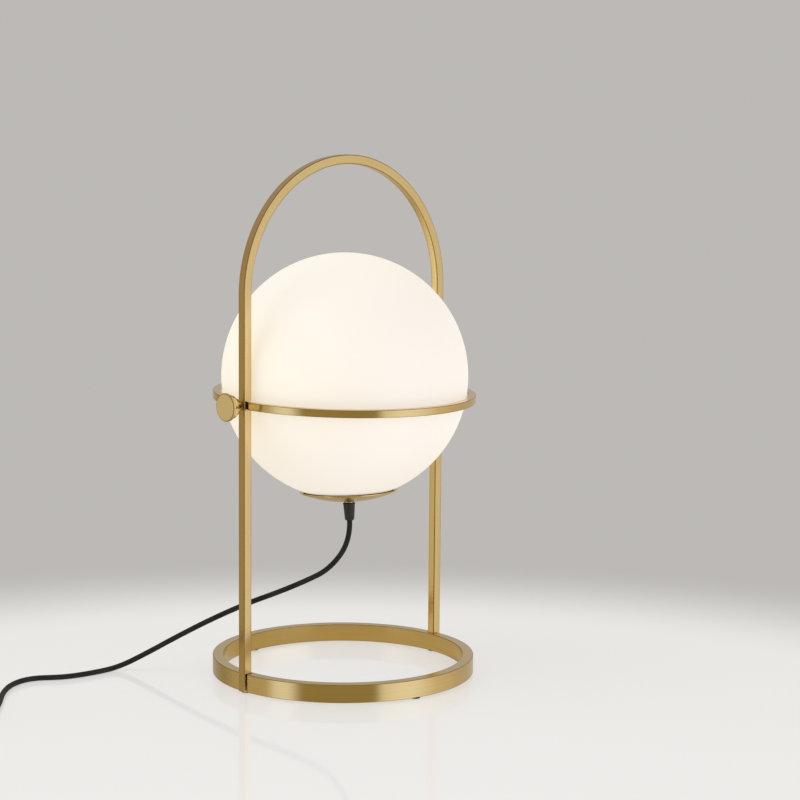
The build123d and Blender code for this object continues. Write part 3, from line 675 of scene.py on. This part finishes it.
def globe_ring():
    """Ring with a narrow lip under the glass, milled flat where the posts' washers bear on it."""
    outer_r, inner_r, lip_r, flat_x, flat_half = 133.5 * mm, 125.5 * mm, 123.6 * mm, 130.1 * mm, 6.0 * mm
    half, lip_top = 3.75 * mm, -2.15 * mm
    angles, cut = stepped_angles(300, np.arcsin(flat_half / outer_r))
    outer = np.where(cut, flat_x / np.abs(np.cos(angles)), outer_r)
    section = [
        (lip_r, -half), (outer, -half), (outer, half), (inner_r, half), (inner_r, lip_top), (lip_r, lip_top),
    ]
    corners = np.stack([np.stack(np.broadcast_arrays(radius, z, outer)[:2], -1) for radius, z in section], 1)
    band = placed(round_band(corners, angles), on_ring)
    mesh_piece("brass_globe_ring", [band], ring_brass, "globe", ("globe_ring",))


def knobs():
    """A cone that opens to a shoulder and a flat disc, turned, with eased edges."""
    profile = eased(
        [(0.0, 0.3), (3.7, 0.3), (8.0, 7.0), (12.2, 13.5), (12.7, 17.1), (13.9, 17.7), (13.9, 19.9),
         (13.3, 20.5), (11.6, 20.5), (0.0, 20.5)],
        0.4, closed=False,
    ) * mm
    grid = turned(profile, 96)
    hoop_outside = bar_middle + bar_depth / 2
    for name, side in (("knob_near", -1), ("knob_far", 1)):
        def lie_down(points, side=side):
            x, y, z = points[..., 0], points[..., 1], points[..., 2]
            return np.stack([side * (hoop_outside + z), -side * y, pivot_z + x], -1)

        mesh_piece(f"brass_{name}", [placed(grid, lie_down)], knob_brass, name, (name,))


def cap():
    """Spun dish between two spheres about the globe's middle, with a hole and a rounded edge."""
    outer_r, inner_r, hole_r, edge_r, ease = 128.0, 126.8, 4.0, 49.9, 0.3
    low = np.arcsin(hole_r / outer_r)
    down = np.linspace(low, np.arcsin(edge_r / outer_r), 40)
    back = np.linspace(np.arcsin(edge_r / inner_r), low, 24)
    outer = np.column_stack([outer_r * np.sin(down), -outer_r * np.cos(down)])
    inner = np.column_stack([inner_r * np.sin(back), -inner_r * np.cos(back)])
    outer[-1, 0] = inner[0, 0] = edge_r - ease
    edge = [(edge_r, outer[-1, 1] + ease), (edge_r, inner[0, 1] - ease)]
    profile = np.concatenate([outer, edge, inner, outer[:1]]) * mm
    grid = placed(turned(profile, 144), on_globe)
    mesh_piece("brass_cap", [grid], cap_brass, "globe", ("cap",))


def collar():
    """Small dome between the cap and the cord grip."""
    profile = eased(
        [(0, -127.9), (5.6, -127.9), (5.4, -129.0), (4.9, -130.0), (0, -130.0)],
        0.8, closed=False,
    )
    grid = placed(turned(profile * mm, 48), on_globe)
    mesh_piece("brass_collar", [grid], knob_brass, "globe", ("cord_collar",))


hoop()
base_ring()
globe_ring()
knobs()
cap()
collar()


# Glass, grip and plug

def globe():
    """Blown shell: the outer sphere from its top to the mouth, a rounded rim, and the inner sphere back."""
    outer_r, inner_r, mouth, ease = 125.0, 122.0, 42.0, 0.9
    down = np.linspace(0, pi - np.arcsin(mouth / outer_r), 97)
    back = np.linspace(pi - np.arcsin(mouth / inner_r), 0, 49)
    outer = np.column_stack([outer_r * np.sin(down), outer_r * np.cos(down)])
    inner = np.column_stack([inner_r * np.sin(back), inner_r * np.cos(back)])
    rim = np.array([(mouth - ease, (outer[-1, 1] + inner[0, 1]) / 2)])
    profile = np.concatenate([outer, rim, inner]) * mm
    profile[[0, -1], 0] = 0
    grid = placed(turned(profile, 192), on_globe)
    mesh_piece("opal_globe", [grid], opal, "globe", ("glass_globe",))


def grip():
    """Tapered strain relief with a flat collar line and a softly rounded end round the cord."""
    profile = eased(
        [(3.9, -129.7), (6.25, -129.7), (6.25, -131.0), (5.95, -131.6), (4.85, -145.6), (4.2, -147.6),
         (2.7, -147.6)],
        0.5, closed=False,
    )
    bore = [(2.7, -140.0), (3.9, -139.0), (3.9, -129.7)]
    grid = placed(turned(np.concatenate([profile, bore]) * mm, 48), on_globe)
    mesh_piece("cord_grip_sleeve", [grid], grip_rubber, "globe", ("cord_grip",))


def plug():
    """Flat moulded plug, 36 mm long, with five grooves round its neck.

    Its half width w and half height h, in millimetres, follow the length from neck to pins in smooth steps.
    Each section is the superellipse |y/w|^n + |z/h|^n = 1, and n goes from 2.2 to 4.6.
    """
    t = np.linspace(0, 1, 73)

    def smooth(low, high):
        s = np.clip((t - low) / (high - low), 0, 1)
        return s * s * (3 - 2 * s)

    groove = 0.35 * (np.cos(t * 2 * pi * 22) < -0.2) * (t > 0.03) * (t < 0.27)
    rounded_end = 0.8 * smooth(0.985, 1.0)
    wide = 4.6 + 1.0 * smooth(0.05, 0.3) + 12.05 * smooth(0.26, 0.76) - groove - rounded_end
    tall = 4.6 + 0.5 * smooth(0.05, 0.3) + 1.75 * smooth(0.3, 0.66) - groove - rounded_end
    power = 2 / (2.2 + 2.4 * smooth(0.15, 0.5))[:, None]
    angle = np.linspace(0, 2 * pi, 65)
    c, s = np.cos(angle), np.sin(angle)
    y = wide[:, None] * np.sign(c) * np.abs(c) ** power
    z = tall[:, None] * np.sign(s) * np.abs(s) ** power
    x = np.broadcast_to(36.0 * t[:, None], y.shape)
    grid = np.stack([x, y, z], -1) * mm + plug_path[-1]
    uv = np.stack(np.broadcast_arrays(angle[None, :] * 0.01, t[:, None] * 0.036), -1)
    grids = [(grid, uv), *flat_ends(grid, uv)]
    return mesh_piece("plug_moulding", grids, moulded, "frame", ("plug_body",))


globe()
grip()
plug_moulding = plug()


# Finishes for the pieces that come as they are

plain = {
    rubber: ["foot_pads", "friction_washer_near", "friction_washer_far"],
    silicone: ["seat_gasket"],
    # Painted shade: the dark gasket draws the line between the glass and the cap
    fibre: ["cap_gasket"],
    moulded: ["switch_base", "switch_cover", "switch_rocker", "holder_cap", "holder_barrel"],
    zinc: ["knob_stud_near", "knob_stud_far", "threaded_tube", "lock_nuts", "spring_clip", "switch_screws",
           "terminal_screws"],
    bright_brass: ["centre_contact", "screw_shell", "switch_contacts"],
    nickel: ["plug_pins"],
    cap_metal: ["bulb_cap", "bulb_tip", "bulb_board"],
    ceramic: ["terminal_block"],
    white_plastic: ["bulb_housing"],
    frosted: ["bulb_diffuser"],
    black_glass: ["bulb_insulator"],
    core_brown: ["inner_leads"],
    strap: ["cord_tie"],
    grip_rubber: ["inner_cord"],
}
for material, names in plain.items():
    for name in names:
        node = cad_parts[name]
        node.data.materials.clear()
        node.data.materials.append(material)


# Studio

background_grey = (0.505, 0.488, 0.468)


def card_light(finish, x, y, z):
    """The studio round the lamp, seen by what mirrors it in the direction (x, y, z).

    The angle is counted in degrees from the camera's side, and is positive to the right of the picture. Pale
    cards stand to the left and right, with the warm dark of the room between them, where the camera is, and
    the ceiling is an even pale brown.
    """
    across, ahead = across_and_ahead(x, y)
    turn = across.maths("ARCTAN2", across, ahead * -1.0) / (2 * pi) + 0.5
    dark, behind, ceiling = (0.30, 0.245, 0.11), (0.44, 0.42, 0.40), (0.47, 0.43, 0.39)
    left, right = (0.82, 0.85, 0.91), (0.91, 0.94, 0.99)
    room = [
        (-180, behind), (-130, (0.31, 0.26, 0.16)), (-110, (0.44, 0.38, 0.25)), (-70, (0.51, 0.45, 0.30)),
        (-60, left), (-48, left), (-36, dark), (28, dark), (35, (0.78, 0.79, 0.78)), (50, right), (66, right),
        (90, (0.66, 0.60, 0.48)), (120, (0.54, 0.48, 0.39)), (180, behind),
    ]
    stops = [(degrees / 360 + 0.5, colour) for degrees, colour in room]
    walls = finish.node("ShaderNodeValToRGB", {"stops": stops}, {0: turn})
    return finish.mix(z.between(0.2, 0.6), walls, ceiling)


def floor():
    """A pale satin floor that fades to the background's grey away from the lamp.

    What mirrors it sees through it to the cards, but inside the base ring it sees the ring's own warm light.
    """
    half, outer_tone, near_tone, white = 30.0, (0.50, 0.485, 0.465), (0.80, 0.79, 0.775), (1.14, 1.13, 1.115)
    ring_light, ring_light_at = (0.55, 0.46, 0.27), 0.04
    mesh = bpy.data.meshes.new("floor")
    corners = [(-half, -half, 0), (half, -half, 0), (half, half, 0), (-half, half, 0)]
    mesh.from_pydata(corners, [], [(0, 1, 2, 3)])
    finish = Finish("pale_floor")
    x, y, _ = finish.parts(finish.coordinates())
    across, ahead = across_and_ahead(x, y)
    ahead = ahead + 0.16
    near = ((ahead * ahead + across * across * 0.55) ** 0.5).between(0.72, 0.40)
    tone = finish.mix(near, outer_tone, near_tone)
    satin = finish.node("ShaderNodeBsdfPrincipled", sockets={"Base Color": tone, "Roughness": 0.4})
    polish = finish.node(
        "ShaderNodeBsdfAnisotropic", sockets={"Color": (0.98, 0.98, 0.98), "Roughness": 0.07}
    )
    sheen = finish.node("ShaderNodeFresnel", sockets={"IOR": 1.45}) * 0.75
    pale = finish.blend(sheen, finish.blend(0.55, satin, finish.glow(white)), polish)
    seen = finish.blend(near, finish.glow(background_grey), pale)
    x, y = x - ring_light_at, y - ring_light_at
    inside = ((x * x + y * y) ** 0.5).between(0.115, 0.095)
    mirrored = finish.blend(inside, finish.node("ShaderNodeBsdfTransparent"), finish.glow(ring_light))
    finish.close(finish.blend(finish.ray("Is Glossy Ray"), seen, mirrored))
    mesh.materials.append(finish.owner)
    ground = bpy.data.objects.new("floor", mesh)
    bpy.context.collection.objects.link(ground)


def surroundings():
    """Plain grey behind, even white light from all round, and the cards for what mirrors them."""
    world = bpy.context.scene.world or bpy.data.worlds.new("studio")
    bpy.context.scene.world = world
    finish = Finish("studio", world)
    x, y, z = finish.parts(finish.coordinates("Generated"))
    card_colour = card_light(finish, x, y, z)
    even_light = finish.node("ShaderNodeBackground", sockets={"Color": (0.72, 0.72, 0.72)})
    cards = finish.node("ShaderNodeBackground", sockets={"Color": card_colour, "Strength": 1.15})
    behind = finish.node("ShaderNodeBackground", sockets={"Color": background_grey})
    unseen = finish.blend(finish.ray("Is Glossy Ray"), even_light, cards)
    finish.close(finish.blend(finish.ray("Is Camera Ray"), unseen, behind), "ShaderNodeOutputWorld")


def softbox(name, place, aim, size, power):
    """A large square lamp that the metal doesn't mirror."""
    data = bpy.data.lights.new(name, "AREA")
    data.energy, data.size = power, size
    lamp = bpy.data.objects.new(name, data)
    way = np.asarray(place, float) - aim
    way /= np.linalg.norm(way)
    side = np.cross((0, 0, 1), way)
    side /= np.linalg.norm(side)
    turn = np.eye(4)
    turn[:3, 0], turn[:3, 1], turn[:3, 2], turn[:3, 3] = side, np.cross(way, side), way, place
    lamp.matrix_world = Matrix(turn.tolist())
    lamp.visible_glossy = False
    bpy.context.collection.objects.link(lamp)


floor()
surroundings()
softbox("key", place=(-1.2, 0.6, 2.2), aim=(0, 0, 0.2), size=1.4, power=10.0)
bpy.context.scene.view_settings.view_transform = "Standard"
